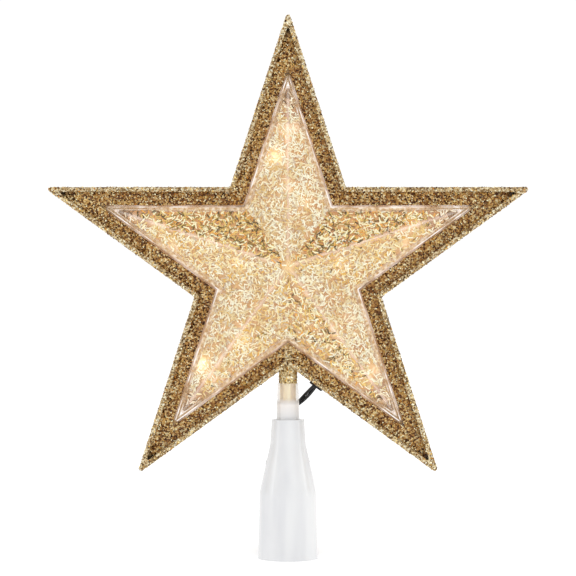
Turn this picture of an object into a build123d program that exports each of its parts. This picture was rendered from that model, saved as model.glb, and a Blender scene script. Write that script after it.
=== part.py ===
from build123d import *
import math
import os

# Lighted star tree topper. Sizes in mm, +Z up, and the star faces -Y.
# The origin is the centre of the socket's mouth.
# In the star, "front" is a distance ahead of the post's axis, towards the viewer, so y = -front.

# Star outline: a regular pentagram, with every smaller outline a parallel inset of it
star_tip_radius = 119.5  # centre to the sharp corner of a point, before rounding
tip_rounding = 1.1
notch_rounding = 1.2
fit_gap = 0.25  # between mouldings that drop into each other
running_gap = 0.05  # radial, on the round fits that turn or slide
root_sink = 0.4  # how far a boss or stake runs into the wall that it grows from
stake_stand = 0.6  # how far a stake stands out past what it holds

# Frame: a star tray with a raised rim, a recessed floor and the post
frame_front = 8.0
frame_back = -8.0
rim_width = 2.3
rim_rounding = 0.6
recess_depth = 3.2
floor_thickness = 1.6
post_radius = 4.3
post_exposed = 8.85  # from the socket's neck up to the notch
boss_radius = 3.0
boss_clearance = 0.8
boss_from_tip = 20.0  # screw boss, measured in from the sharp corner
pilot_radius = 1.0
stake_radius = 1.0
stake_place = 0.55  # share of the star's radius

# Clear faceted lens
lens_inset = 8.5  # outer edge of the star to the lens wall at the floor
lens_draft = 0.6
lens_edge_front = 9.5
lens_border = 1.4  # flat edge round the facets
facet_height = 14.0
lens_wall = 1.3
tip_land = 1.2  # flat across the end of each lens point, which leaves a slim land along the ridge
flange_width = 4.4
flange_thickness = 1.4
lens_root = 0.2  # how far the lens wall runs into its flange

# Flake lining behind the facets
lining_gap = 0.15
lining_thickness = 0.4
lining_reach = 0.65  # share of the star's radius

# Lamp plate and lamps: two on each arm
plate_thickness = 1.2
plate_end_round = 5.0
plate_margin = 2.0  # between the lens wall and the plate
support_radius = 2.4
support_place = 0.2  # share of the star's radius
outer_lamp_place = 0.523
inner_lamp_place = 0.31
holder_radius = 3.0
holder_length = 6.8
holder_collar_radius = 4.2
holder_collar = 1.2
bulb_radius = 2.5
bulb_length = 7.2
bulb_seat = 1.4  # how deep the bulb stands in its holder

# Rear cover and screws
cover_thickness = 1.8
cover_chamfer = 0.5
screw_gap = 0.2
screw_head_radius = 2.2
screw_head = 1.3
screw_length = 7.0
screw_end_gap = 0.6
screw_head_rounding = 0.5
cross_length = 2.6
cross_width = 0.6
cross_depth = 0.7

# Tree socket: radii outside, heights above the mouth
socket_mouth_radius = 14.0
socket_bore_radius = 12.4
socket_skirt_radius = 13.4
socket_skirt_height = 30.4
socket_waist_radius = 8.4
socket_waist_height = 53.0
socket_shoulder_radius = 7.6
socket_shoulder_height = 64.9
neck_base_radius = 5.35
neck_top_radius = 4.95
neck_top_height = 81.8
socket_wall = 1.5
socket_bend = 14.0  # rounding where the flare starts and ends

# Peg: a smooth spigot, half in the post and half in the neck
peg_radius = 3.7
peg_in_neck = 9.7
peg_in_post = 10.8
peg_chamfer = 0.5
room_below_peg = 4.0

# Lead: a twisted pair, drawn here as one round tube
cord_diameter = 3.0
wire_diameter = 1.5
wire_bend = 3.5
wire_bow = 2.0  # slack between two lamps
first_wire_run = 6.5  # straight on from the lead
last_wire_run = 5.5
last_wire_side = 8.0  # the last wire's bend, from the star's middle
last_wire_drop = 4.5  # and below its lamp
wire_step = 0.25  # the lamp wires cross each other at two levels, this far to each side of the lead
exit_along = 16.7  # from the notch, along the lower right arm's edge
exit_front = -3.0
grommet_radius = 2.5
grommet_collar_radius = 3.5
grommet_collar = 1.2
cord_inside = 6.5  # from the frame's outer face in to the wires
arc_share = 0.45  # of the shorter straight run, taken up by the arc at a corner

# Hank behind the socket
hank_turns = 4
hank_pitch = 3.5
fold_radius = 9.0
hank_low = 4.0
hank_high = 50.0
hank_gap = 2.1  # behind the socket's mouth
waist_draw = 5.5
lead_side = 3.0  # how far in from the folds the cord enters and leaves the hank
tie_height = 3.4
tie_thickness = 0.8
tie_gap = 0.4
tie_corner = 2.2
knot_size = 2.4
knot_lap = 0.3  # how far the twisted knot sits into the band
tie_end_length = 5.2
tie_end_width = 2.2
tie_end_thickness = 0.9
tie_end_splay = 20

# Plug
plug_width = 18.0
plug_depth = 11.0
plug_height = 17.0
plug_corner = 3.0
plug_chamfer = 1.0
relief_length = 7.0
relief_radius = 3.4
relief_wall = 0.6  # round the cord at its thin end
grip_ribs = 3
grip_pitch = 3.0
grip_groove = 1.2
grip_from_top = 5.0
blade_width = 6.3
blade_thickness = 1.5
blade_length = 15.8
blade_spacing = 12.7
blade_seat = 6.0
blade_chamfer = 1.2
blade_hole_radius = 1.5
blade_hole_from_end = 4.0
plug_x = -2.0
plug_gap = 7.4  # behind the hank

# Worked out from the above
point_half_angle = math.radians(18)
notch_share = math.sin(point_half_angle) / math.sin(math.radians(54))
notch_radius = notch_share * star_tip_radius
star_centre_height = neck_top_height + post_exposed + notch_radius
floor_front = frame_front - recess_depth
floor_back = floor_front - floor_thickness
flange_back = floor_back - flange_thickness
plate_front = flange_back
plate_back = plate_front - plate_thickness
cover_front = frame_back + cover_thickness
cord_radius = cord_diameter / 2
wire_radius = wire_diameter / 2
hank_front_y = socket_mouth_radius + hank_gap + cord_radius
hank_back_y = hank_front_y + hank_turns * hank_pitch
plug_y = hank_back_y + cord_radius + plug_gap + plug_depth / 2
holder_back = plate_front - holder_length
arm_angles = [90, 162, 234, 306, 378]
lamp_order = [3, 4, 0, 1, 2]  # the arms in the order in which the wire reaches them


def tip_radius_at(inset):
    # Sharp tip radius of the outline moved in by this much
    return star_tip_radius - inset / math.sin(point_half_angle)


def star_points(tip_radius, land=0.0):
    # Corners of a star, with a flat this wide across each point
    points = []
    for angle in arm_angles:
        a = math.radians(angle)
        if land:
            along = tip_radius - land / 2 / math.tan(point_half_angle)
            for side in (-1, 1):
                x = along * math.cos(a) - side * land / 2 * math.sin(a)
                z = along * math.sin(a) + side * land / 2 * math.cos(a)
                points.append((x, z))
        else:
            points.append((tip_radius * math.cos(a), tip_radius * math.sin(a)))
        b = a + math.radians(36)
        points.append((notch_share * tip_radius * math.cos(b), notch_share * tip_radius * math.sin(b)))
    return points


def star_plane(front):
    return Plane(origin=(0, -front, star_centre_height), x_dir=(1, 0, 0), z_dir=(0, -1, 0))


def star_sketch(inset, tip_round=0.0, notch_round=0.0):
    radius = tip_radius_at(inset)
    sketch = Polygon(*star_points(radius), align=None)
    if tip_round:
        tips = [v for v in sketch.vertices() if Vector(v.X, v.Y, 0).length > 0.7 * radius]
        sketch = fillet(tips, tip_round)
    if notch_round:
        notches = [v for v in sketch.vertices() if Vector(v.X, v.Y, 0).length < 0.5 * radius]
        sketch = fillet(notches, notch_round)
    return sketch


def star_slab(sketch, back, front):
    return extrude(star_plane(back) * sketch, front - back)


def arm_point(arm, along, across=0.0):
    a = math.radians(arm_angles[arm])
    return (along * math.cos(a) - across * math.sin(a), along * math.sin(a) + across * math.cos(a))


def rod(point, back, front, radius):
    # Round rod square to the star's face, at a point measured from the star's centre
    return star_slab(Pos(*point) * Circle(radius), back, front)


def space_point(point, front):
    return Vector(point[0], -front, star_centre_height + point[1])


def flat_solid(loops):
    # Solid with flat faces from its corner loops
    faces = [Face(Wire.make_polygon([Vector(*p) for p in loop], close=True)) for loop in loops]
    return Solid(Shell(faces))


def lens_inset_at(front):
    # The lens wall leans in a little towards the viewer
    return lens_inset + lens_draft * (front - flange_back) / (lens_edge_front - flange_back)


def star_ring(tip_radius, front):
    return [tuple(space_point(p, front)) for p in star_points(tip_radius, tip_land)]


def lens_prism(offset, back, front):
    # The lens's wall as a solid star, this far inside its outer face
    low = star_ring(tip_radius_at(lens_inset_at(back) + offset), back)
    high = star_ring(tip_radius_at(lens_inset_at(front) + offset), front)
    count = len(low)
    sides = [[low[i - 1], low[i], high[i], high[i - 1]] for i in range(count)]
    return flat_solid([low, high] + sides)


def facet_cone(offset, back):
    # A facet on each side of every ridge, this far inside the lens's outer facets
    facet_radius = tip_radius_at(lens_inset + lens_draft + lens_border)
    slope = math.atan2(facet_height, facet_radius * math.sin(point_half_angle))
    peak = lens_edge_front + facet_height - offset / math.cos(slope)
    low = star_ring(facet_radius * (peak - back) / facet_height, back)
    apex = tuple(space_point((0, 0), peak))
    count = len(low)
    return flat_solid([low] + [[low[i - 1], low[i], apex] for i in range(count)])


def stake_spots():
    middle = tip_radius_at(lens_inset - flange_width / 2)
    along = stake_place * star_tip_radius
    across = (middle - along) * math.tan(point_half_angle)
    return [arm_point(arm, along, side * across) for arm in range(5) for side in (-1, 1)]


def boss_spots():
    return [arm_point(arm, star_tip_radius - boss_from_tip) for arm in range(5)]


def support_spots():
    spots = []
    for angle in arm_angles:
        a = math.radians(angle + 36)
        along = support_place * star_tip_radius
        spots.append((along * math.cos(a), along * math.sin(a)))
    return spots


def lamp_spots():
    spots = []
    for arm in lamp_order:
        spots.append(arm_point(arm, outer_lamp_place * star_tip_radius))
        spots.append(arm_point(arm, inner_lamp_place * star_tip_radius))
    return spots


def cord_exit():
    # Where the lead leaves the frame, on the lower right arm's inner edge, and the way it points
    fall = math.radians(36)
    place = Vector(
        exit_along * math.cos(fall),
        -exit_front,
        star_centre_height - notch_radius - exit_along * math.sin(fall),
    )
    return place, Vector(-math.sin(fall), 0, -math.cos(fall))


def rod_along(start, end, radius):
    way = end - start
    return extrude(Plane(origin=start, z_dir=way) * Circle(radius), way.length)


def post_rod(radius):
    # From the neck up to just past the inner face of the frame's notch
    height = star_centre_height - notch_share * tip_radius_at(rim_width) + 1.0 - neck_top_height
    return Pos(0, 0, neck_top_height + height / 2) * Cylinder(radius, height)


def make_star_frame():
    outline = star_sketch(0, tip_rounding, notch_rounding)
    inside = star_sketch(rim_width, tip_rounding / 2, notch_rounding + rim_width)
    opening = star_sketch(lens_inset - fit_gap)
    tray = star_slab(outline, frame_back, frame_front)
    tray -= star_slab(inside, frame_back, floor_back)
    tray -= star_slab(inside, floor_front, frame_front)
    rim = [e for e in tray.edges() if abs(e.center().Y + frame_front) < 0.01]
    tray = fillet(rim, rim_rounding)
    tray += post_rod(post_radius)
    tray -= star_slab(opening, floor_back, floor_front)
    bore_height = peg_in_post + running_gap
    tray -= Pos(0, 0, neck_top_height + bore_height / 2) * Cylinder(peg_radius + running_gap, bore_height)
    for spot in stake_spots():
        tray += rod(spot, flange_back - stake_stand, floor_back + root_sink, stake_radius)
    for spot in boss_spots():
        tray += rod(spot, cover_front, floor_back + root_sink, boss_radius)
        tray -= rod(spot, cover_front, cover_front + screw_length, pilot_radius)
    place, way = cord_exit()
    tray -= rod_along(place - way * cord_inside, place + way, grommet_radius + running_gap)
    return tray


def make_front_lens():
    reach = star_tip_radius - boss_from_tip - boss_radius - boss_clearance
    flange = star_sketch(lens_inset - flange_width) & Circle(reach)
    lens = star_slab(flange, flange_back, floor_back)
    lens += lens_prism(0, floor_back - lens_root, lens_edge_front)
    lens += facet_cone(0, lens_edge_front)
    lens -= lens_prism(lens_wall, flange_back, lens_edge_front - lens_wall)
    lens -= facet_cone(lens_wall, lens_edge_front - lens_wall)
    for spot in stake_spots():
        lens -= rod(spot, flange_back, floor_back, stake_radius + running_gap)
    return lens - post_rod(post_radius + fit_gap)


def make_flake_lining():
    outer = lens_wall + lining_gap
    back = lens_edge_front - lens_wall
    lining = facet_cone(outer, back) - facet_cone(outer + lining_thickness, back)
    return lining & star_slab(Circle(lining_reach * star_tip_radius), 0, lens_edge_front + facet_height)


def make_lamp_plate():
    outline = star_sketch(lens_inset + lens_wall + plate_margin, plate_end_round, notch_rounding)
    plate = star_slab(outline, plate_back, plate_front)
    for spot in lamp_spots():
        plate -= rod(spot, plate_back, plate_front, holder_radius + running_gap)
    for spot in support_spots():
        plate -= rod(spot, plate_back, plate_front, stake_radius + running_gap)
    return plate


def make_lamp_holder(spot):
    top = plate_front + holder_collar
    holder = rod(spot, holder_back, plate_front, holder_radius)
    holder += rod(spot, plate_front, top, holder_collar_radius)
    holder -= rod(spot, top - bulb_seat, top, bulb_radius + running_gap)
    return holder


def make_bulb(spot):
    start = plate_front + holder_collar - bulb_seat
    barrel = rod(spot, start, start + bulb_length - bulb_radius, bulb_radius)
    return barrel + Pos(*space_point(spot, start + bulb_length - bulb_radius)) * Sphere(bulb_radius)


def make_wires():
    spots = lamp_spots()
    levels = [exit_front + wire_radius + wire_step, exit_front - wire_radius - wire_step]
    holders = [make_lamp_holder(spot) for spot in spots]
    paths = []
    for i in range(len(spots) - 1):
        start, end = Vector(*spots[i]), Vector(*spots[i + 1])
        across = (end - start).normalized().rotate(Axis.Z, 90)
        middle = (start + end) * 0.5 + across * wire_bow
        ends = [space_point((p.X, p.Y), levels[i % 2]) for p in (start, middle, end)]
        paths.append(ThreePointArc(*ends))
    place, way = cord_exit()
    inner_end = place - way * cord_inside
    first, last = space_point(spots[0], exit_front), space_point(spots[-1], exit_front)
    shift = Vector(0, wire_radius, 0)
    begin = inner_end + shift
    paths.append(FilletPolyline(begin, begin - way * first_wire_run, first + shift, radius=wire_bend))
    begin = inner_end - shift
    over = Vector(last_wire_side, last.Y, last.Z - last_wire_drop) - shift
    paths.append(FilletPolyline(begin, begin - way * last_wire_run, over, last - shift, radius=wire_bend))
    wires = []
    for path in paths:
        wire = sweep(Plane(origin=path @ 0, z_dir=path % 0) * Circle(wire_radius), path=path)
        for holder in holders:
            wire -= holder
        wires.append(max(wire.solids(), key=lambda s: s.volume))
    return wires


def make_rear_cover():
    outline = star_sketch(rim_width + fit_gap, tip_rounding, notch_rounding + rim_width)
    cover = star_slab(outline, frame_back, cover_front)
    for spot in support_spots():
        cover += rod(spot, cover_front, plate_back, support_radius)
        cover += rod(spot, plate_back, plate_front + stake_stand, stake_radius)
    for spot in boss_spots():
        cover -= rod(spot, frame_back, cover_front, pilot_radius + screw_gap)
    outer_edge = 2 * math.pi * screw_head_radius  # longer than any screw hole's edge
    back_edges = [e for e in cover.edges().group_by(Axis.Y)[-1] if e.length > outer_edge]
    return chamfer(back_edges, cover_chamfer)


def make_cover_screws():
    screws = []
    for spot in boss_spots():
        screw = rod(spot, frame_back - screw_head, frame_back, screw_head_radius)
        screw = fillet(screw.edges().group_by(Axis.Y)[-1], screw_head_rounding)
        for size in ((cross_length, cross_width), (cross_width, cross_length)):
            slot = Pos(*spot) * Rectangle(*size)
            screw -= star_slab(slot, frame_back - screw_head, frame_back - screw_head + cross_depth)
        screw_end = cover_front + screw_length - screw_end_gap
        screw += rod(spot, frame_back, screw_end, pilot_radius - running_gap)
        screws.append(screw)
    return Compound(screws)


def make_tree_socket():
    bore = socket_bore_radius
    neck_bore = peg_radius + running_gap
    throat = neck_top_height - peg_in_neck - room_below_peg
    outer = [
        Vector(socket_mouth_radius, 0),
        Vector(socket_skirt_radius, socket_skirt_height),
        Vector(socket_waist_radius, socket_waist_height),
        Vector(socket_shoulder_radius, socket_shoulder_height),
    ]
    bends = [min(socket_bend, most) for most in corner_radii(outer)]
    outside = FilletPolyline(*outer, radius=bends)
    upper = Polyline(
        (socket_shoulder_radius, socket_shoulder_height),
        (neck_base_radius, socket_shoulder_height),
        (neck_top_radius, neck_top_height),
        (neck_bore, neck_top_height),
        (neck_bore, throat),
        (socket_shoulder_radius - socket_wall, socket_shoulder_height - socket_wall),
        (socket_waist_radius - socket_wall, socket_waist_height),
        (bore, socket_skirt_height),
        (bore, 0),
        (socket_mouth_radius, 0),
    )
    profile = Plane.XZ * make_face(outside.edges() + upper.edges())
    return revolve(profile, Axis.Z)


def make_post_peg():
    length = peg_in_neck + peg_in_post
    peg = Pos(0, 0, neck_top_height - peg_in_neck + length / 2) * Cylinder(peg_radius, length)
    return chamfer(peg.edges().filter_by(GeomType.CIRCLE), peg_chamfer)


def make_grommet():
    place, way = cord_exit()
    grommet = rod_along(place - way * rim_width, place, grommet_radius)
    grommet += rod_along(place, place + way * grommet_collar, grommet_collar_radius)
    grommet -= rod_along(place - way * rim_width, place + way * grommet_collar, cord_radius + running_gap)
    return grommet


def corner_radii(points):
    radii = []
    for before, here, after in zip(points, points[1:], points[2:]):
        turn = math.radians((here - before).get_angle(after - here))
        run = min((here - before).length, (after - here).length)
        radii.append(arc_share * run / math.tan(turn / 2))
    return radii


def cord_tube(name, points):
    # Round tube on straight runs joined by the largest arcs that they allow
    radii = corner_radii(points)
    path = FilletPolyline(*points, radius=radii)
    tube = sweep(Plane(origin=path @ 0, z_dir=path % 0) * Circle(cord_radius), path=path)
    wanted = math.pi * cord_radius**2 * path.length
    shown = ", ".join(f"{r:.1f}" for r in radii)
    print(f"{name}: length {path.length:.1f}, radii {shown}")
    print(f"{name}: volume {tube.volume / wanted:.4f} of section x length")
    return tube


def lead_points():
    place, way = cord_exit()
    return [
        place - way * cord_inside,
        place + way * 6.5,
        Vector(2.6, 11.6, neck_top_height - 16.3),
        Vector(-4.0, 15.8, socket_waist_height + 3.3),
        hank_start() + Vector(0, 0, 7.0),
        hank_start(),
    ]


def biarc(start, start_way, end, end_way):
    # Two tangent arcs that leave start along start_way and reach end along end_way
    span = end - start
    both = start_way + end_way
    a = 2 * (1 - start_way.dot(end_way))
    b = 2 * span.dot(both)
    c = -span.dot(span)
    reach = -c / b if abs(a) < 1e-9 else (-b + math.sqrt(b * b - 4 * a * c)) / (2 * a)
    joint = (start + start_way * reach + end - end_way * reach) * 0.5
    joint_way = (end - end_way * reach - start - start_way * reach).normalized()
    return [
        Edge.make_tangent_arc(start, start_way, joint),
        Edge.make_tangent_arc(joint, joint_way, end),
    ]


def hank_stations():
    # Places on the hank with the way that the cord runs there:
    # down the left, round, and up the right one step further back
    up, down = Vector(0, 0, 1), Vector(0, 0, -1)
    low, high = hank_low + fold_radius, hank_high - fold_radius
    middle = (low + high) / 2
    climb = Vector(0, hank_pitch, high - low).normalized()
    inner = fold_radius - waist_draw
    stations = []
    for turn in range(hank_turns):
        y = hank_front_y + turn * hank_pitch
        back = y + hank_pitch
        last = turn == hank_turns - 1
        if turn == 0:
            stations.append((Vector(lead_side - fold_radius, y, high - lead_side), down))
        else:
            stations.append((Vector(-fold_radius, y, high), down))
        stations.append((Vector(-inner, y, middle), down))
        stations.append((Vector(-fold_radius, y, low), down))
        stations.append((Vector(0, y, hank_low), Vector(1, 0, 0)))
        stations.append((Vector(fold_radius, y, low), up))
        stations.append((Vector(inner, (y + back) / 2, middle), climb))
        if last:
            stations.append((Vector(fold_radius - lead_side, back, high - lead_side), up))
        else:
            stations.append((Vector(fold_radius, back, high), up))
            stations.append((Vector(0, back, hank_high), Vector(-1, 0, 0)))
    return stations


def hank_start():
    place, way = hank_stations()[0]
    return place - way * cord_diameter


def hank_end():
    place, way = hank_stations()[-1]
    return place + way * cord_diameter


def make_cord_hank():
    stations = hank_stations()
    first = hank_start()
    edges = [Edge.make_line(first, stations[0][0])]
    for (start, start_way), (end, end_way) in zip(stations, stations[1:]):
        edges += biarc(start, start_way, end, end_way)
    edges.append(Edge.make_line(stations[-1][0], hank_end()))
    path = Wire(edges)
    section = Plane(origin=first, z_dir=Vector(0, 0, -1)) * Circle(cord_radius)
    hank = sweep(section, path=path)
    length = sum(e.length for e in edges)
    print(f"cord_hank: length {length:.1f}, least bend {min(e.radius for e in edges[1:-1]):.1f}")
    print(f"cord_hank: volume {hank.volume / (math.pi * cord_radius**2 * length):.4f} of section x length")
    print(f"cord_hank: least gap to itself {least_gap(edges):.2f}")
    return hank


def least_gap(edges):
    # Between stretches of the hank that are more than four diameters apart along it
    points = []
    along = 0.0
    for edge in edges:
        steps = max(2, round(edge.length / 0.8))
        points += [(along + edge.length * i / steps, edge @ (i / steps)) for i in range(steps)]
        along += edge.length
    least = math.inf
    for i, (here, p) in enumerate(points):
        for there, q in points[i + 1 :]:
            if there - here > 4 * cord_diameter:
                least = min(least, (p - q).length)
    return least - cord_diameter


def make_hank_tie():
    # Flat band round the hank's waist, with its two ends twisted off at the back
    half_x = fold_radius - waist_draw + cord_radius + tie_gap
    front = hank_front_y - cord_radius - tie_gap
    back = hank_back_y - hank_pitch / 2 + cord_radius + tie_gap
    middle = (hank_low + hank_high) / 2
    base = Plane.XY.offset(middle - tie_height / 2)
    hole = Pos(0, (front + back) / 2) * RectangleRounded(2 * half_x, back - front, tie_corner)
    ring = offset(hole, tie_thickness) - hole
    band = extrude(base * ring, tie_height)
    knot_y = back + tie_thickness + knot_size / 2 - knot_lap
    knot = Pos(0, knot_y, middle) * Box(knot_size, knot_size, tie_height)
    for side in (-1, 1):
        end = Rot(0, side * tie_end_splay, 0) * Box(tie_end_length, tie_end_thickness, tie_end_width)
        knot += Pos(side * tie_end_length / 2, knot_y, middle) * end
    return band + knot


def tail_points():
    start = hank_end()
    top = start.Z + 10.0
    end = Vector(plug_x, plug_y, top - 10.0)
    return [
        start,
        Vector(start.X, start.Y, top),
        Vector((start.X + plug_x) / 2, (start.Y + plug_y) / 2, top + 5.0),
        Vector(plug_x, plug_y, top),
        end,
    ]


def plug_top():
    return tail_points()[-1].Z - relief_length


def make_plug_body():
    top = plug_top()
    base = Plane.XY.offset(top - plug_height)
    outline = Pos(plug_x, plug_y) * RectangleRounded(plug_width, plug_depth, plug_corner)
    block = extrude(base * outline, plug_height)
    block = chamfer(block.edges().group_by(Axis.Z)[-1], plug_chamfer)
    for side in (-1, 1):
        for rib in range(grip_ribs):
            place = (plug_x + side * plug_width / 2, plug_y, top - grip_from_top - grip_pitch * rib)
            block -= Pos(*place) * Box(grip_groove, plug_depth - 2 * plug_corner, grip_groove)
    relief = Cone(relief_radius, cord_radius + relief_wall, relief_length)
    block += Pos(plug_x, plug_y, top + relief_length / 2) * relief
    for side in (-1, 1):
        place = (plug_x + side * blade_spacing / 2, plug_y, top - plug_height + blade_seat / 2)
        block -= Pos(*place) * Box(blade_thickness, blade_width, blade_seat)
    return block


def make_plug_blades():
    blades = []
    bottom = plug_top() - plug_height
    for side in (-1, 1):
        place = (plug_x + side * blade_spacing / 2, plug_y, bottom + (blade_seat - blade_length) / 2)
        blade = Pos(*place) * Box(blade_thickness, blade_width, blade_length + blade_seat)
        ends = blade.edges().filter_by(Axis.X).group_by(Axis.Z)[0]
        blade = chamfer(ends, blade_chamfer)
        hole = Pos(place[0], plug_y, bottom - blade_length + blade_hole_from_end) * Rot(0, 90, 0)
        blade -= hole * Cylinder(blade_hole_radius, 2 * blade_thickness)
        blades.append(blade)
    return Compound(blades)


def build():
    parts = {
        "star_frame": make_star_frame(),
        "front_lens": make_front_lens(),
        "flake_lining": make_flake_lining(),
        "lamp_plate": make_lamp_plate(),
        "rear_cover": make_rear_cover(),
        "cover_screws": make_cover_screws(),
        "tree_socket": make_tree_socket(),
        "post_peg": make_post_peg(),
        "cord_grommet": make_grommet(),
        "lead_cord": cord_tube("lead_cord", lead_points()),
        "cord_hank": make_cord_hank(),
        "hank_tie": make_hank_tie(),
        "tail_cord": cord_tube("tail_cord", tail_points()),
        "plug_body": make_plug_body(),
        "plug_blades": make_plug_blades(),
    }
    for number, spot in enumerate(lamp_spots(), 1):
        parts[f"lamp_holder_{number:02d}"] = make_lamp_holder(spot)
        parts[f"bulb_{number:02d}"] = make_bulb(spot)
    for number, wire in enumerate(make_wires(), 1):
        parts[f"lamp_wire_{number:02d}"] = wire
    return parts


os.makedirs("parts", exist_ok=True)
for name, shape in build().items():
    export_step(shape, f"parts/{name}.step")
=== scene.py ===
import math
import random

import bmesh
import bpy
from mathutils import Matrix, Vector, noise


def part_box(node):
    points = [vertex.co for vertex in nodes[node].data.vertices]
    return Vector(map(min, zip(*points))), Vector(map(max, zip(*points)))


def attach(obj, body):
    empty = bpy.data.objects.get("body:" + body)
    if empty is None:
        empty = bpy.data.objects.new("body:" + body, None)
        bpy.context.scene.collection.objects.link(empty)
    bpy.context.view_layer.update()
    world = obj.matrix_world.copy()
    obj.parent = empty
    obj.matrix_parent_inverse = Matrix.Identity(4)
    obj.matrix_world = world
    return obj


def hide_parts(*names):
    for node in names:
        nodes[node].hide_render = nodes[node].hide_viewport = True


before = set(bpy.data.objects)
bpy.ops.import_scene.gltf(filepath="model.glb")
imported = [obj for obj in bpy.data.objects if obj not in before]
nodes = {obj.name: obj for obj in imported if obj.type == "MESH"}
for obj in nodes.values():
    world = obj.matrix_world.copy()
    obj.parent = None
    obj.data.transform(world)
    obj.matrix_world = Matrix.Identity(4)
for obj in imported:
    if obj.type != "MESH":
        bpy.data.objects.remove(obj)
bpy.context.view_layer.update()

mm = 0.001
skinDepth = 0.2 * mm  # of the fine bumps
lensApex = min((v.co for v in nodes["front_lens"].data.vertices), key=lambda co: co.y)
starMiddle = Vector((lensApex.x, 0, lensApex.z))
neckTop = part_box("tree_socket")[1].z
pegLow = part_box("post_peg")[0].z
armStep = 72  # degrees from one arm to the next
pointSlope = math.radians(18)  # half the angle of a star's point
lampCount = 10


# Camera: square on to the star

cameraLook = {
    "distance": 1.0,
    "height": 126.35 * mm,  # level with the middle of the picture
    "lens": 133.6,
}
camera = bpy.data.objects.new("camera", bpy.data.cameras.new("camera"))
camera.data.lens = cameraLook["lens"]
camera.location = (0, -cameraLook["distance"], cameraLook["height"])
camera.rotation_euler = (math.radians(90), 0, 0)
bpy.context.scene.collection.objects.link(camera)
bpy.context.scene.camera = camera
bpy.context.scene.view_settings.view_transform = "Standard"
print("camera set")


# Helpers for materials and pieces

def fromScreen(red, green, blue):
    # A colour as a screen shows it, 0 to 255, to the shader's linear values
    def linear(value):
        value /= 255
        return value / 12.92 if value <= 0.04045 else ((value + 0.055) / 1.055) ** 2.4
    return (linear(red), linear(green), linear(blue), 1.0)


def newMaterial(name, **settings):
    # A material with one Principled shader; settings are sockets set to plain values
    material = bpy.data.materials.new(name)
    material.use_nodes = True
    tree = material.node_tree
    shader = tree.nodes["Principled BSDF"]
    for socket, value in settings.items():
        shader.inputs[socket.replace("_", " ")].default_value = value
    return material, tree, shader


def addNode(tree, kind, links=None, **settings):
    # A node with its properties set and its inputs linked or given
    node = tree.nodes.new(kind)
    for name, value in settings.items():
        setattr(node, name, value)
    for socket, source in (links or {}).items():
        if isinstance(source, bpy.types.NodeSocket):
            tree.links.new(source, node.inputs[socket])
        else:
            node.inputs[socket].default_value = source
    return node


def addCoord(tree, kind="Object"):
    return addNode(tree, "ShaderNodeTexCoord").outputs[kind]


def addAxis(tree, vector, axis):
    return addNode(tree, "ShaderNodeSeparateXYZ", {"Vector": vector}).outputs[axis]


def addMath(tree, operation, first, second=0.0):
    return addNode(tree, "ShaderNodeMath", {0: first, 1: second}, operation=operation).outputs[0]


def addVector(tree, operation, first, second=(0, 0, 0)):
    # One step of vector maths, which gives a vector or a measure
    node = addNode(tree, "ShaderNodeVectorMath", {0: first, 1: second}, operation=operation)
    measures = ("LENGTH", "DISTANCE", "DOT_PRODUCT")
    return node.outputs["Value" if operation in measures else "Vector"]


def addRange(tree, source, low, high, first, last):
    # The source's range from low to high becomes first to last, and is held at both ends
    links = {"Value": source, "From Min": low, "From Max": high, "To Min": first, "To Max": last}
    return addNode(tree, "ShaderNodeMapRange", links).outputs["Result"]


def addRamp(tree, source, stops):
    # A colour ramp from a list of (place, screen colour)
    ramp = addNode(tree, "ShaderNodeValToRGB", {"Fac": source})
    while len(ramp.color_ramp.elements) < len(stops):
        ramp.color_ramp.elements.new(1.0)
    for element, (place, colour) in zip(ramp.color_ramp.elements, stops):
        element.position = place
        element.color = fromScreen(*colour)
    return ramp.outputs["Color"]


def addMix(tree, factor, first, second, blend="MIX"):
    # Inputs 0, 6 and 7 and output 2 are the ones for colours
    links = {0: factor, 6: first, 7: second}
    return addNode(tree, "ShaderNodeMix", links, data_type="RGBA", blend_type=blend).outputs[2]


def addNoise(tree, scale, detail=2.0, source=None):
    links = {"Vector": source or addCoord(tree), "Scale": scale, "Detail": detail}
    return addNode(tree, "ShaderNodeTexNoise", links).outputs["Fac"]


def addStreaks(tree, scale, squeeze):
    # Noise drawn out along the height
    links = {"Vector": addCoord(tree), "Scale": (1.0, 1.0, squeeze)}
    return addNoise(tree, scale, 2.0, addNode(tree, "ShaderNodeMapping", links).outputs["Vector"])


def addBump(tree, shader, height, strength):
    bump = addNode(tree, "ShaderNodeBump", {"Height": height, "Strength": strength, "Distance": skinDepth})
    tree.links.new(bump.outputs["Normal"], shader.inputs["Normal"])


def linkGlowing(tree, shader, colour):
    # A surface that gives off light of its own colour
    tree.links.new(colour, shader.inputs["Base Color"])
    tree.links.new(colour, shader.inputs["Emission Color"])


def finishNode(name, material):
    # A CAD node keeps its shape and gets this finish
    mesh = nodes[name].data
    mesh.materials.clear()
    mesh.materials.append(material)


def addPiece(name, source, material, body):
    # A new piece at the origin, from a bmesh or a mesh, riding on a body
    mesh = source
    if isinstance(source, bmesh.types.BMesh):
        mesh = bpy.data.meshes.new(name)
        source.to_mesh(mesh)
        source.free()
    mesh.materials.clear()
    mesh.materials.append(material)
    piece = bpy.data.objects.new(name, mesh)
    bpy.context.scene.collection.objects.link(piece)
    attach(piece, body)
    return piece


# Studio: a pale floor under a white dome, with two tall soft boxes

studioLook = {
    "floorSize": 6.0,
    "floorTones": [(0.0, (222, 222, 222)), (1.0, (225, 225, 225))],
    "floorGlow": 0.43,
    "domeStrength": 1.05,
    "boxes": [(-0.95, -0.32, 0.25, 0.9), (0.95, -0.12, 0.25, 0.9)],  # x, y, z and watts
    "boxSize": (0.07, 0.9),
    "boxAim": (0, 0, 0.12),
}


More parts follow.
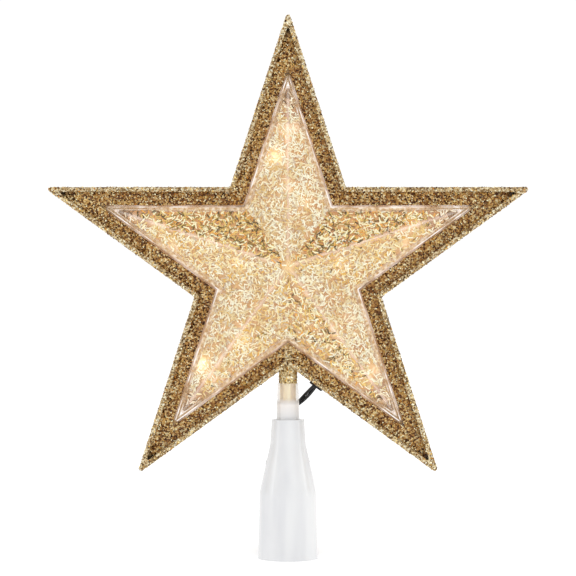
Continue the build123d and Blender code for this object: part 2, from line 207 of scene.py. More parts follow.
def makeStudio(look):
    bm = bmesh.new()
    bmesh.ops.create_grid(bm, x_segments=4, y_segments=4, size=look["floorSize"] / 2)
    mesh = bpy.data.meshes.new("floor")
    bm.to_mesh(mesh)
    bm.free()
    paper, tree, shader = newMaterial("floorPaper", Roughness=0.9, Emission_Strength=look["floorGlow"])
    shader.inputs["Emission Color"].default_value = fromScreen(255, 255, 255)
    tone = addRamp(tree, addNoise(tree, 12.0), look["floorTones"])
    tree.links.new(tone, shader.inputs["Base Color"])
    mesh.materials.append(paper)
    floor = bpy.data.objects.new("floor", mesh)
    bpy.context.scene.collection.objects.link(floor)
    world = bpy.data.worlds.new("dome")
    world.use_nodes = True
    sky = world.node_tree.nodes["Background"]
    sky.inputs["Color"].default_value = (1, 1, 1, 1)
    sky.inputs["Strength"].default_value = look["domeStrength"]
    bpy.context.scene.world = world
    for x, y, z, watts in look["boxes"]:
        light = bpy.data.objects.new("softBox", bpy.data.lights.new("softBox", "AREA"))
        light.data.shape = "RECTANGLE"
        light.data.size, light.data.size_y = look["boxSize"]
        light.data.energy = watts
        light.location = (x, y, z)
        aim = Vector(look["boxAim"]) - light.location
        light.rotation_euler = aim.to_track_quat("-Z", "Y").to_euler()
        bpy.context.scene.collection.objects.link(light)


makeStudio(studioLook)
print("studio set")


# Lead: a black twisted pair, put away in a hank behind the socket

leadLook = {
    "wire": 1.5 * mm,
    "pair": 3.0 * mm,
    "length": 0.535,
    "lay": 40.0 * mm,  # one full twist
    "twistStart": math.radians(-27),  # so that the strands lie side by side where the lead shows
    "sampleStep": 0.7 * mm,
    # The rest in mm
    "exit": (13.51, 3.0, 80.83),
    "lead": [(17.33, 3, 86.09), (10.2, 3, 77.2), (1.8, 11, 69.2), (-4, 15.4, 61), (-6, 17.6, 50)],
    "tail": [
        (6, 31.6, 43.6), (6, 31.6, 50.4), (3.7, 35.8, 55.2), (0.3, 41.8, 55.2),
        (-2, 46, 50.4), (-2, 46, 43.6), (-2, 46, 36),
    ],
    "turns": 4,
    "pitch": 3.5,
    "rise": 1.0,  # at both ends of the run that climbs through the tie
    "frontY": 17.6,
    # One side of the hank, across and up: through the tie, and round each fold
    "tie": [(3.42, 29.9), (3.42, 23.2)],
    "lowFold": [(9.53, 17.46), (9.58, 9.21), (3.98, 3.62)],
    "highFold": [(9.61, 35.98), (9.35, 44.38), (3.78, 49.67)],
}


def hankRoute(look):
    # Control points of the hank's turns: down the left, round, and up the right one step further back
    (tieX, tieHigh), (_, tieLow) = look["tie"]
    route = []
    for loop in range(look["turns"]):
        y = look["frontY"] + loop * look["pitch"]
        back = y + look["pitch"]
        route += [(-x, y, z) for x, z in look["tie"] + look["lowFold"]]
        route += [(x, y, z) for x, z in reversed(look["lowFold"])]
        route += [(tieX, y + look["rise"], tieLow), (tieX, back - look["rise"], tieHigh)]
        if loop < look["turns"] - 1:
            route += [(x, back, z) for x, z in look["highFold"]]
            route += [(-x, back, z) for x, z in reversed(look["highFold"])]
    return route


def readRoute(points, step):
    # Points along the smooth line that a NURBS spline makes of the route
    curve = bpy.data.curves.new("cordRoute", "CURVE")
    curve.dimensions = "3D"
    curve.resolution_u = 24
    spline = curve.splines.new("NURBS")
    spline.points.add(len(points) - 1)
    for point, place in zip(spline.points, points):
        point.co = (*(Vector(place) * mm), 1)
    spline.order_u = 3
    spline.use_endpoint_u = True
    holder = bpy.data.objects.new("cordRoute", curve)
    mesh = bpy.data.meshes.new_from_object(holder)
    line = [v.co.copy() for v in mesh.vertices]
    bpy.data.objects.remove(holder)
    bpy.data.curves.remove(curve)
    bpy.data.meshes.remove(mesh)
    kept = [line[0]]
    for place in line[1:]:
        if (place - kept[-1]).length >= step:
            kept.append(place)
    return kept


def twistedPair(line, look):
    # Two strands wound round the line, as round tubes
    curve = bpy.data.curves.new("twistedPair", "CURVE")
    curve.dimensions = "3D"
    curve.bevel_depth = look["wire"] / 2
    curve.bevel_resolution = 3
    curve.use_fill_caps = True
    offset = (look["pair"] - look["wire"]) / 2
    strands = {}
    for start in (0, math.pi):
        strands[start] = curve.splines.new("POLY")
        strands[start].points.add(len(line) - 1)
    across = Vector((0, 1, 0))
    along = 0.0
    for i, place in enumerate(line):
        ahead = line[min(i + 1, len(line) - 1)]
        behind = line[max(i - 1, 0)]
        way = (ahead - behind).normalized()
        across = (across - way * across.dot(way)).normalized()
        along += (place - behind).length
        for start, strand in strands.items():
            turn = look["twistStart"] + start + 2 * math.pi * along / look["lay"]
            arm = Matrix.Rotation(turn, 3, way) @ across
            strand.points[i].co = (*(place + arm * offset), 1)
    holder = bpy.data.objects.new("twistedPair", curve)
    mesh = bpy.data.meshes.new_from_object(holder)
    bpy.data.objects.remove(holder)
    for face in mesh.polygons:
        face.use_smooth = True
    return mesh


def softVinyl(name, dark, light, rough):
    # Soft black vinyl: a faint cloud of wear and a fine skin
    material, tree, shader = newMaterial(name, Specular_IOR_Level=0.45)
    cloud = addNoise(tree, 220.0, 4.0)
    tree.links.new(addRamp(tree, cloud, [(0.3, dark), (0.75, light)]), shader.inputs["Base Color"])
    tree.links.new(addRange(tree, cloud, 0.2, 0.8, rough - 0.08, rough + 0.1), shader.inputs["Roughness"])
    addBump(tree, shader, addNoise(tree, 2600.0), 0.12)
    return material


cordVinyl = softVinyl("cordVinyl", (8, 8, 9), (18, 18, 20), 0.3)
cordLine = readRoute(leadLook["lead"] + hankRoute(leadLook) + leadLook["tail"], leadLook["sampleStep"])
cordPair = addPiece("cordPair", twistedPair(cordLine, leadLook), cordVinyl, "star")
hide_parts("lead_cord", "cord_hank", "tail_cord")
print("cord laid")


# Glitter: gold flakes bonded all over the frame, the post and the back cover

glitterLook = {
    "sharpTip": 119.5 * mm,  # where the outline's sides would meet
    "cell": 0.66 * mm,
    "metal": 0.35,
    "rough": (0.2, 0.5),
    "slant": 1.1,
    "rimEdge": 2.4 * mm,
    "rimFront": -7.2 * mm,
    "floorFront": -4.8 * mm,
    # Painted light and shade: one glitter's golds, darker in the recess, paler on the rim and paler still on
    # the post
    "recessShaded": [
        (0.0, (54, 24, 2)), (0.3, (116, 70, 20)), (0.5, (166, 118, 52)),
        (0.75, (214, 174, 102)), (1.0, (255, 246, 200)),
    ],
    "rim": [
        (0.0, (96, 66, 30)), (0.3, (152, 122, 74)), (0.5, (192, 166, 116)),
        (0.75, (228, 210, 166)), (1.0, (255, 252, 226)),
    ],
    "post": [
        (0.0, (130, 102, 54)), (0.3, (194, 166, 110)), (0.5, (224, 200, 144)),
        (0.75, (246, 228, 178)), (1.0, (255, 253, 230)),
    ],
    "postTop": neckTop + 17.5 * mm,
    "postRadius": 5.0 * mm,
    "tipShadeReach": (107.2 * mm, 110.5 * mm),  # painted shade: the recess narrows to a corner painted dark here
    # the colour of the painted shade in those corners
    "corner": (20, 10, 4),
    "clumps": [(0.3, (206, 190, 176)), (0.7, (255, 255, 255))],
    "clumpShare": 0.65,
    "inside": [(0.3, (206, 172, 128)), (0.7, (228, 198, 156))],
    "insideGlow": 0.14,  # the lamps light the cover's inner face
    # The loose flakes
    "flakes": 13000,
    "backFlakes": 5000,
    "flakeSize": (0.24 * mm, 0.42 * mm),
    "lift": 0.12 * mm,
    "tilt": 0.5,
    "tints": [
        (60, 28, 2), (114, 66, 18), (180, 116, 38), (176, 132, 64), (210, 170, 92), (240, 214, 146),
        (255, 250, 212),
    ],
    "tintShares": [16, 17, 8, 14, 17, 15, 14],
    # How much brighter or darker than the recess's they are: painted light on the rim and the post, painted
    # shade in the tips' corners
    "rimLightLift": 1.2,
    "postLightLift": 1.8,
    "tipShadeLift": 0.2,
    "postInset": -1.0 * mm,  # further out than this is the post
    # Where they lie: on the frame's front and close to its outline, and on the cover's back
    "frontDepth": -4.6 * mm,
    "wallInset": 0.6 * mm,
    "backDepth": 7.5 * mm,
    "backFacing": 0.7,
}


def armPlace(place):
    # How far along the nearest arm's axis and across it a place lies
    flat = place - starMiddle
    turn = (math.degrees(math.atan2(flat.z, flat.x)) - 90) % armStep
    turn = math.radians(min(turn, armStep - turn))
    reach = math.hypot(flat.x, flat.z)
    return reach * math.cos(turn), reach * math.sin(turn)


def edgeInset(place):
    # How far inside the star's outline a place lies
    along, across = armPlace(place)
    return (glitterLook["sharpTip"] - along) * math.sin(pointSlope) - across * math.cos(pointSlope)


def addArmPlace(tree):
    # The same two measures in a material
    flat = addVector(tree, "SUBTRACT", addCoord(tree), tuple(starMiddle))
    x = addAxis(tree, flat, "X")
    z = addAxis(tree, flat, "Z")
    turn = addMath(tree, "PINGPONG", addMath(tree, "ARCTAN2", x, z), math.radians(armStep / 2))
    squares = addMath(tree, "ADD", addMath(tree, "MULTIPLY", x, x), addMath(tree, "MULTIPLY", z, z))
    reach = addMath(tree, "SQRT", squares)
    along = addMath(tree, "MULTIPLY", reach, addMath(tree, "COSINE", turn))
    across = addMath(tree, "MULTIPLY", reach, addMath(tree, "SINE", turn))
    return along, across


def addEdgeInset(tree):
    along, across = addArmPlace(tree)
    depth = addMath(tree, "SUBTRACT", glitterLook["sharpTip"], along)
    depth = addMath(tree, "MULTIPLY", depth, math.sin(pointSlope))
    return addMath(tree, "SUBTRACT", depth, addMath(tree, "MULTIPLY", across, math.cos(pointSlope)))


def glitterCoat(name, look, closesBack=False):
    # Every cell is a flake with its own gold and slant; the back cover's inner face is plain and lit
    material, tree, shader = newMaterial(name, Metallic=look["metal"], Specular_IOR_Level=0.5)
    place = addCoord(tree)
    cells = addNode(tree, "ShaderNodeTexVoronoi", {"Vector": place, "Scale": 1 / look["cell"]})
    parts = addNode(tree, "ShaderNodeSeparateColor", {"Color": cells.outputs["Color"]})
    shade = parts.outputs["Red"]

    # Painted light and shade: the rim and the outer walls are painted paler, as lit, and the recess darker,
    # as shaded
    depth = addAxis(tree, place, "Y")
    floorFront = look["floorFront"]
    front = addRange(tree, depth, look["rimFront"], floorFront - 1.0 * mm, 1.0, 0.0)
    walls = addRange(tree, depth, floorFront + 0.1 * mm, floorFront + 0.4 * mm, 0.0, 1.0)
    rimSide = addRange(tree, addEdgeInset(tree), look["rimEdge"] - 0.5 * mm, look["rimEdge"], 1.0, 0.0)
    raised = addMath(tree, "MAXIMUM", addMath(tree, "MAXIMUM", front, walls), rimSide)
    gold = addMix(tree, raised, addRamp(tree, shade, look["recessShaded"]), addRamp(tree, shade, look["rim"]))

    # Painted light and shade: the post is paler still, as lit, and the recess ends in corners painted dark,
    # as shade
    around = addVector(tree, "LENGTH", addVector(tree, "MULTIPLY", place, (1, 1, 0)))
    slim = addRange(tree, around, look["postRadius"], look["postRadius"] + 0.2 * mm, 1.0, 0.0)
    low = addRange(tree, addAxis(tree, place, "Z"), look["postTop"], look["postTop"] + 1.0 * mm, 1.0, 0.0)
    gold = addMix(tree, addMath(tree, "MULTIPLY", slim, low), gold, addRamp(tree, shade, look["post"]))
    # Painted shade: the recess's corners near the tips are painted nearly black
    reach = addVector(tree, "DISTANCE", place, tuple(starMiddle))
    corner = addRange(tree, reach, *look["tipShadeReach"], 0.0, 1.0)
    corner = addMath(tree, "MULTIPLY", corner, addRange(tree, raised, 0.0, 0.5, 1.0, 0.0))
    gold = addMix(tree, corner, gold, fromScreen(*look["corner"]))
    clump = addRamp(tree, addNoise(tree, 170.0, 3.0), look["clumps"])
    gold = addMix(tree, look["clumpShare"], gold, clump, "MULTIPLY")
    if closesBack:
        inner = addRange(tree, addAxis(tree, addCoord(tree, "Normal"), "Y"), -0.6, -0.5, 1.0, 0.0)
        gold = addMix(tree, inner, gold, addRamp(tree, addNoise(tree, 80.0, 3.0), look["inside"]))
        tree.links.new(gold, shader.inputs["Emission Color"])
        glow = addRange(tree, inner, 0, 1, 0, look["insideGlow"])
        tree.links.new(glow, shader.inputs["Emission Strength"])
    tree.links.new(gold, shader.inputs["Base Color"])
    rough = addRange(tree, parts.outputs["Green"], 0.0, 1.0, *look["rough"])
    tree.links.new(rough, shader.inputs["Roughness"])

    # Each cell's colour, less middle grey, leans its face
    slant = addVector(tree, "SUBTRACT", cells.outputs["Color"], (0.5, 0.5, 0.5))
    slant = addVector(tree, "MULTIPLY", slant, (look["slant"], look["slant"], look["slant"]))
    facing = addNode(tree, "ShaderNodeNewGeometry").outputs["Normal"]
    leaned = addVector(tree, "NORMALIZE", addVector(tree, "ADD", facing, slant))
    tree.links.new(leaned, shader.inputs["Normal"])
    return material


def tintedFlake(name, **settings):
    # A flake takes its colour from its own tint, a little worn
    material, tree, shader = newMaterial(name, **settings)
    tint = addNode(tree, "ShaderNodeAttribute", attribute_name="flakeTint").outputs["Color"]
    worn = addRamp(tree, addNoise(tree, 900.0), [(0.25, (226, 222, 216)), (0.65, (255, 255, 255))])
    colour = addMix(tree, 0.7, tint, worn, "MULTIPLY")
    tree.links.new(colour, shader.inputs["Base Color"])
    return material, tree, shader, colour


def scatterOn(name, count, wanted, dice):
    # Random places on a node's faces, with the way each face looks
    mesh = nodes[name].data
    mesh.calc_loop_triangles()
    faces = []
    for triangle in mesh.loop_triangles:
        corners = [mesh.vertices[i].co for i in triangle.vertices]
        if wanted(sum(corners, Vector()) / 3, triangle.normal):
            faces.append((corners, triangle.normal.copy(), triangle.area))
    spots = []
    for corners, normal, area in dice.choices(faces, [face[2] for face in faces], k=count):
        a, b = dice.random(), dice.random()
        if a + b > 1:
            a, b = 1 - a, 1 - b
        place = corners[0] + (corners[1] - corners[0]) * a + (corners[2] - corners[0]) * b
        spots.append((place, normal))
    return spots


def flakeMatrix(place, normal, tilt, dice):
    # Turns a flat flake to lie along the face, spun and leaned a little
    seat = normal.to_track_quat("Z", "Y").to_matrix().to_4x4()
    spin = Matrix.Rotation(dice.uniform(0, 2 * math.pi), 4, "Z")
    lean = Matrix.Rotation(dice.gauss(0, tilt), 4, "X")
    return Matrix.Translation(place) @ seat @ spin @ lean


def strewFlakes(spots, makeFlake, batch=250):
    # Makes a flake for each spot, a batch at a time, and paints it with the tint that makeFlake gives
    whole = bmesh.new()
    for start in range(0, len(spots), batch):
        bm = bmesh.new()
        layer = bm.loops.layers.float_color.new("flakeTint")
        for spot in spots[start:start + batch]:
            verts, tint = makeFlake(bm, *spot)
            for face in verts[0].link_faces:
                for corner in face.loops:
                    corner[layer] = tint
        mesh = bpy.data.meshes.new("flakeBatch")
        bm.to_mesh(mesh)
        bm.free()
        whole.from_mesh(mesh)
        bpy.data.meshes.remove(mesh)
    return whole


def flakeLift(place, look):
    # Painted light and shade: flakes on the rim and the post are made brighter, those in the tips' corners
    # darker
    inset = edgeInset(place)
    if inset > look["rimEdge"]:
        return look["tipShadeLift"] if (place - starMiddle).length > look["tipShadeReach"][0] else 1.0
    return look["rimLightLift"] if inset > look["postInset"] else look["postLightLift"]


def glitterFlakes(name, node, count, wanted, look, dice):
    # Small six-sided plates that stand a little proud of the coat
    tints = [fromScreen(*tint) for tint in look["tints"]]

    def plate(bm, place, normal):
        seat = flakeMatrix(place + normal * look["lift"] * dice.random(), normal, look["tilt"], dice)
        made = bmesh.ops.create_circle(
            bm, cap_ends=True, segments=6, radius=dice.uniform(*look["flakeSize"]), matrix=seat
        )
        tint = Vector(dice.choices(tints, look["tintShares"])[0])
        return made["verts"], tuple(tint * flakeLift(place, look))

    spots = scatterOn(node, count, wanted, dice)
    return addPiece(name, strewFlakes(spots, plate), flakeGold, "star")


def outside(place, normal):
    # The frame's front, rim, outer walls and post, not the hollow behind its floor
    return place.y < glitterLook["frontDepth"] or edgeInset(place) < glitterLook["wallInset"]


def backFace(place, normal):
    return normal.y > glitterLook["backFacing"] and place.y > glitterLook["backDepth"]


finishNode("star_frame", glitterCoat("glitterGold", glitterLook))
finishNode("rear_cover", glitterCoat("glitterBack", glitterLook, closesBack=True))
flakeGold = tintedFlake("flakeGold", Metallic=0.45, Roughness=0.28, Specular_IOR_Level=0.15)[0]
frameGlitter = glitterFlakes(
    "frameGlitter", "star_frame", glitterLook["flakes"], outside, glitterLook, random.Random(11)
)
backGlitter = glitterFlakes(
    "backGlitter", "rear_cover", glitterLook["backFlakes"], backFace, glitterLook, random.Random(12)
)
print("glitter strewn")


# Painted light: bright spots where the facets would throw the lamps' light, and pale rings where they would
# show the lamps' holders off to the sides

lightLook = {
    # Painted bright spots: mm from the star's middle, and how strong
    "sparkles": [
        (-6.5, 51.3, 1.0), (7.9, 29, 0.45), (-22.3, 1.6, 0.5), (23.7, 0.7, 0.55), (-21.3, -35, 0.45),
        (-40.8, -44.7, 1.0), (53.8, 11.4, 0.35), (-54, 8.5, 0.35), (40.4, -47, 0.35),
    ],
    "sparkleReach": 7.0 * mm,
    "falloff": 1.6,
    # Painted rings that stand for the holders seen through the facets: mm from the star's middle
    "rings": [
        (28.8, -23.4), (41.7, -48.6), (-2.7, 64.4), (4.0, 64.4), (54.6, 7.7), (-53.8, 7.9), (-32.1, -54.1),
    ],
    "ringReach": 3.4 * mm,
    "ringStep": 0.8 * mm,
}
ringSpots = [starMiddle + Vector((x, 0, z)) * mm for x, z in lightLook["rings"]]
sparkleSpots = [(starMiddle + Vector((x, 0, z)) * mm, strength) for x, z, strength in lightLook["sparkles"]]
lampSpots = [(sum(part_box(f"bulb_{n:02d}"), Vector()) / 2, 1.0) for n in range(1, lampCount + 1)]


def spotGlow(tree, spots, reach):
    # Each spot's strength, falling to nothing at the reach, summed over the spots
    flat = addVector(tree, "MULTIPLY", addCoord(tree), (1, 0, 1))
    total = 0.0
    for spot, strength in spots:
        apart = addVector(tree, "DISTANCE", flat, (spot.x, 0, spot.z))
        total = addMath(tree, "ADD", total, addRange(tree, apart, 0.0, reach, strength, 0.0))
    return addMath(tree, "POWER", total, lightLook["falloff"])


def spotRings(tree, spots, look):
    # Fine painted rings round each spot, fading out at their reach
    flat = addVector(tree, "MULTIPLY", addCoord(tree), (1, 0, 1))
    step, reach = look["ringStep"], look["ringReach"]
    total = 0.0
    for spot in spots:
        apart = addVector(tree, "DISTANCE", flat, (spot.x, 0, spot.z))
        wave = addRange(tree, addMath(tree, "PINGPONG", apart, step), 0.0, step, 0.0, 1.0)
        fade = addRange(tree, apart, reach * 0.8, reach, 0.9, 0.0)
        total = addMath(tree, "ADD", total, addMath(tree, "MULTIPLY", wave, fade))
    return total


# Needles: thin strips set in the clear facets

needleLook = {
    "count": 8500,
    "length": (1.4 * mm, 3.0 * mm),
    "width": (0.42 * mm, 0.68 * mm),
    "depth": (0.2 * mm, 1.0 * mm),
    "tilt": 0.14,
    "facetFacing": (-0.97, -0.5),  # how far the outer facets look forward
    "facetDepth": -9.3 * mm,
    "edgeInset": 10.9 * mm,  # from the frame's outline, which leaves the lens's border clear
    "fullReach": 66.0 * mm,
    "plateEnd": 74.0 * mm,  # the clear tints lie past the lamp plate's ends
    "clearReach": 96.0 * mm,
    "pointShare": 0.85,  # of the needles, past the full reach
    "ridgeClear": 1.1 * mm,  # few needles lie this near a ridge
    "heart": 3.4 * mm,  # nor this near the apex
    "fewShare": 0.12,
    "ringShare": 0.35,  # of the needles, over the rings
    "bright": [(247, 245, 221), (242, 232, 197), (232, 211, 160), (216, 181, 116), (207, 187, 161)],
    "brightShares": [28, 28, 22, 12, 10],
    "brightLeans": [2.0, 1.0, -1.2, -2.2, 0.0],  # which tints gather in the pale patches
    "patch": 9.0 * mm,  # about the size of the patches
    "dull": [(84, 64, 6), (142, 116, 38), (228, 196, 112), (250, 244, 202), (230, 166, 70)],
    "dullShares": [13, 16, 27, 33, 11],
    "golden": [(246, 230, 178), (236, 204, 128), (222, 176, 84)],
    "goldenShares": [40, 35, 25],
    "clear": [(252, 243, 220), (238, 220, 188), (206, 176, 134), (118, 86, 56)],
    "clearShares": [38, 30, 18, 14],
    # Painted shade and light by which way each facet faces: how dull or golden the facets are, each from one
    # turn to another, in degrees
    "shadedFacets": {
        (18, 54): 0.85, (126, 162): 1.0, (270, 306): 0.4, (234, 270): 0.06, (342, 360): 0.06, (0, 18): 0.06,
    },
    "goldenFacets": {
        (162, 198): 0.3, (234, 270): 0.3, (270, 306): 0.35, (342, 360): 0.35, (0, 18): 0.35, (126, 162): 0.2,
    },
    "glow": (0.05, 0.55),
}


def shiningNeedle(name, look):
    # Needles light up over the bright spots
    material, tree, shader, colour = tintedFlake(name, Metallic=0.0, Roughness=0.55, Specular_IOR_Level=0.1)
    tree.links.new(colour, shader.inputs["Emission Color"])
    glow = spotGlow(tree, sparkleSpots, lightLook["sparkleReach"])
    tree.links.new(addRange(tree, glow, 0, 1, *look["glow"]), shader.inputs["Emission Strength"])
    return material


def facetFront(place, normal):
    # The lens's outer facets
    most, least = needleLook["facetFacing"]
    return most < normal.y < least and place.y < needleLook["facetDepth"]


def facetShare(place, facets):
    # What a table of facets says of the facet at a place
    flat = place - starMiddle
    turn = math.degrees(math.atan2(flat.z, flat.x)) % 360
    for (low, high), share in facets.items():
        if low < turn < high:
            return share
    return 0.0


def needleFlakes(look, dice):
    # Thick over the lamps and fewer in the points
    kinds = ("bright", "dull", "golden", "clear")
    tints = {kind: [fromScreen(*tint) for tint in look[kind]] for kind in kinds}

    def pickTint(place):
        if armPlace(place)[0] > look["plateEnd"]:
            return dice.choices(tints["clear"], look["clearShares"])[0]
        # Painted shade and light: a facet's facing decides how many of its needles are dull or golden
        if dice.random() < facetShare(place, look["shadedFacets"]):
            return dice.choices(tints["dull"], look["dullShares"])[0]
        if dice.random() < facetShare(place, look["goldenFacets"]):
            return dice.choices(tints["golden"], look["goldenShares"])[0]
        pale = noise.noise(place / look["patch"])
        leans = zip(look["brightShares"], look["brightLeans"])
        shares = [share * max(0.1, 1 + lean * pale) for share, lean in leans]
        return dice.choices(tints["bright"], shares)[0]

    def strip(bm, place, normal):
        seat = flakeMatrix(place - normal * dice.uniform(*look["depth"]), normal, look["tilt"], dice)
        size = Matrix.Diagonal((dice.uniform(*look["length"]), dice.uniform(*look["width"]), 1, 1))
        made = bmesh.ops.create_grid(bm, x_segments=1, y_segments=1, size=0.5, matrix=seat @ size)
        return made["verts"], pickTint(place)

    spots = []
    for place, normal in scatterOn("front_lens", look["count"], facetFront, dice):
        along, across = armPlace(place)
        chance = 1.0 if along < look["fullReach"] else look["pointShare"]
        ringApart = min(math.hypot(place.x - spot.x, place.z - spot.z) for spot in ringSpots)
        if across < look["ridgeClear"] or along < look["heart"]:
            chance *= look["fewShare"]
        elif ringApart < lightLook["ringReach"]:
            chance *= look["ringShare"]
        if edgeInset(place) > look["edgeInset"] and along < look["clearReach"] and dice.random() < chance:
            spots.append((place, normal))
    return addPiece("needleFlakes", strewFlakes(spots, strip), needleTinsel, "star")


needleTinsel = shiningNeedle("needleTinsel", needleLook)
needles = needleFlakes(needleLook, random.Random(21))
print("needles strewn")


# Lens: clear facets, with a flat border along the edge

lensLook = {
    # painted light: the lens gives off light of its own tint
    "glow": 0.2,
    "tints": [(0.3, (252, 240, 234)), (0.7, (255, 250, 246))],
    "facetMilk": 0.04,
    "ridgeMilk": 0.12,
    "wallMilk": (0.9, 0.15),  # inside and outside
    "wallFlakes": 0.55,
    # Two fine pale lines along the border, painted highlights: from and to, from the frame's outline, and
    # how milky
    "outerLine": (9.25 * mm, 9.7 * mm, (0.22, 0.72)),
    "innerLine": (10.2 * mm, 10.6 * mm, 0.34),
    "lineHighlightTints": [(0.4, (208, 180, 150)), (0.52, (234, 212, 190)), (0.62, (255, 250, 247))],
    "pointReach": (58.0 * mm, 72.0 * mm),  # the inner line comes out towards the points
    # Between the lines the border shows the flakes beside it, and so do the facets along it
    "borderFlakes": [
        (0.36, (188, 148, 102)), (0.48, (211, 182, 140)), (0.56, (229, 207, 174)), (0.66, (246, 233, 212)),
    ],
    "borderMilk": (0.65, 0.25),  # before and past the points' reach
    "edgeReach": (10.9 * mm, 11.8 * mm),
    "edgeMilk": (0.4, 0.08),
    # The very tips show the glitter beside them
    "tipReach": (87.5 * mm, 89.5 * mm),
    "tipFlakes": [(0.36, (84, 50, 16)), (0.5, (160, 118, 60)), (0.64, (236, 206, 140))],
    "tipMilk": 0.85,
}


def clearPlastic(name, look):
    # Nearly clear on the facets, and milky on the border, the ridges' slim lands and the walls
    material, tree, shader = newMaterial(
        name, Roughness=0.06, Specular_IOR_Level=0.6, Emission_Strength=look["glow"]
    )
    normal = addCoord(tree, "Normal")
    side = addMath(tree, "ABSOLUTE", addAxis(tree, normal, "Y"))
    inset = addEdgeInset(tree)
    along = addArmPlace(tree)[0]
    flat = addRange(tree, side, 0.99, 0.995, 0.0, 1.0)
    wall = addRange(tree, side, 0.4, 0.7, 1.0, 0.0)
    edge = addRange(tree, inset, *look["edgeReach"], 1.0, 0.0)
    tip = addRange(tree, along, *look["tipReach"], 0.0, 1.0)

    # The border's lines, painted highlights, brighter here and there as painted glints
    (outer, outerEnd, outerMilk), (inner, innerEnd, innerMilk) = look["outerLine"], look["innerLine"]
    glintNoise = addNoise(tree, 110.0, 1.0)
    outerMilk = addRange(tree, glintNoise, 0.38, 0.62, *outerMilk)
    innerMilk = addRange(tree, along, *look["pointReach"], 0.0, innerMilk)
    outerSide = addRange(tree, inset, outer, outerEnd, outerMilk, 0.0)
    innerSide = addRange(tree, inset, inner, innerEnd, 0.0, innerMilk)
    lines = addMath(tree, "ADD", outerSide, innerSide)
    between = addRange(tree, lines, 0.0, 0.3, 1.0, 0.0)

    tint = addRamp(tree, addNoise(tree, 60.0), look["tints"])
    flakes = addRamp(tree, addNoise(tree, 620.0, 1.0), look["borderFlakes"])
    lineTint = addRamp(tree, glintNoise, look["lineHighlightTints"])
    tint = addMix(tree, edge, tint, flakes)
    tint = addMix(tree, flat, tint, addMix(tree, between, lineTint, flakes))
    tint = addMix(tree, wall, tint, addMix(tree, look["wallFlakes"], lineTint, flakes))
    tint = addMix(tree, tip, tint, addRamp(tree, addNoise(tree, 900.0, 1.0), look["tipFlakes"]))
    # Painted light: the lens gives off light of its tint
    linkGlowing(tree, shader, tint)

    middle = addVector(tree, "SUBTRACT", addCoord(tree), tuple(starMiddle))
    outward = addVector(tree, "DOT_PRODUCT", middle, normal)
    wallMilk = addRange(tree, outward, -5.0 * mm, 5.0 * mm, *look["wallMilk"])
    milk = addRange(tree, side, 0.4, 0.7, wallMilk, look["facetMilk"])
    ridgeMilk = addRange(tree, side, 0.93, 0.97, 0.0, look["ridgeMilk"])
    borderMilk = addRange(tree, along, *look["pointReach"], *look["borderMilk"])
    borderMilk = addMath(tree, "MULTIPLY", addRange(tree, lines, 0.0, 0.3, borderMilk, outerMilk), flat)
    edgeMilk = addRange(tree, along, *look["pointReach"], *look["edgeMilk"])
    edgeMilk = addMath(tree, "MULTIPLY", edge, addRange(tree, wall, 0.0, 1.0, edgeMilk, 0.0))
    tipMilk = addMath(tree, "MULTIPLY", tip, look["tipMilk"])
    for other in (ridgeMilk, borderMilk, edgeMilk, tipMilk):
        milk = addMath(tree, "MAXIMUM", milk, other)
    tree.links.new(milk, shader.inputs["Alpha"])
    return material


finishNode("front_lens", clearPlastic("clearPlastic", lensLook))
print("lens finished")


# Film: the lining that carries the needles

filmLook = {
    "mottle": [(0.3, (212, 172, 112)), (0.5, (229, 198, 144)), (0.7, (242, 224, 182))],
    "rose": [(0.35, (255, 250, 228)), (0.5, (250, 228, 200)), (0.65, (252, 222, 168))],
    "roseShare": 0.8,
    "upwardShade": (250, 226, 170),  # painted shade: golden and darker on the facets that look up
    # painted highlight: a pale band along each ridge
    "ridge": (246, 222, 194),
    "ridgeReach": (0.5 * mm, 1.8 * mm),
    "ends": (200, 154, 116),
    "endBand": (65.0 * mm, 68.5 * mm, 71.0 * mm, 74.0 * mm),  # painted shade: darker over the lamp plate's ends
    "ring": (253, 238, 212),
    "heart": (250, 220, 146),
    "heartReach": (2.5 * mm, 5.5 * mm),
    "sparkle": (255, 244, 204),
    "glow": (0.06, 0.9),
}


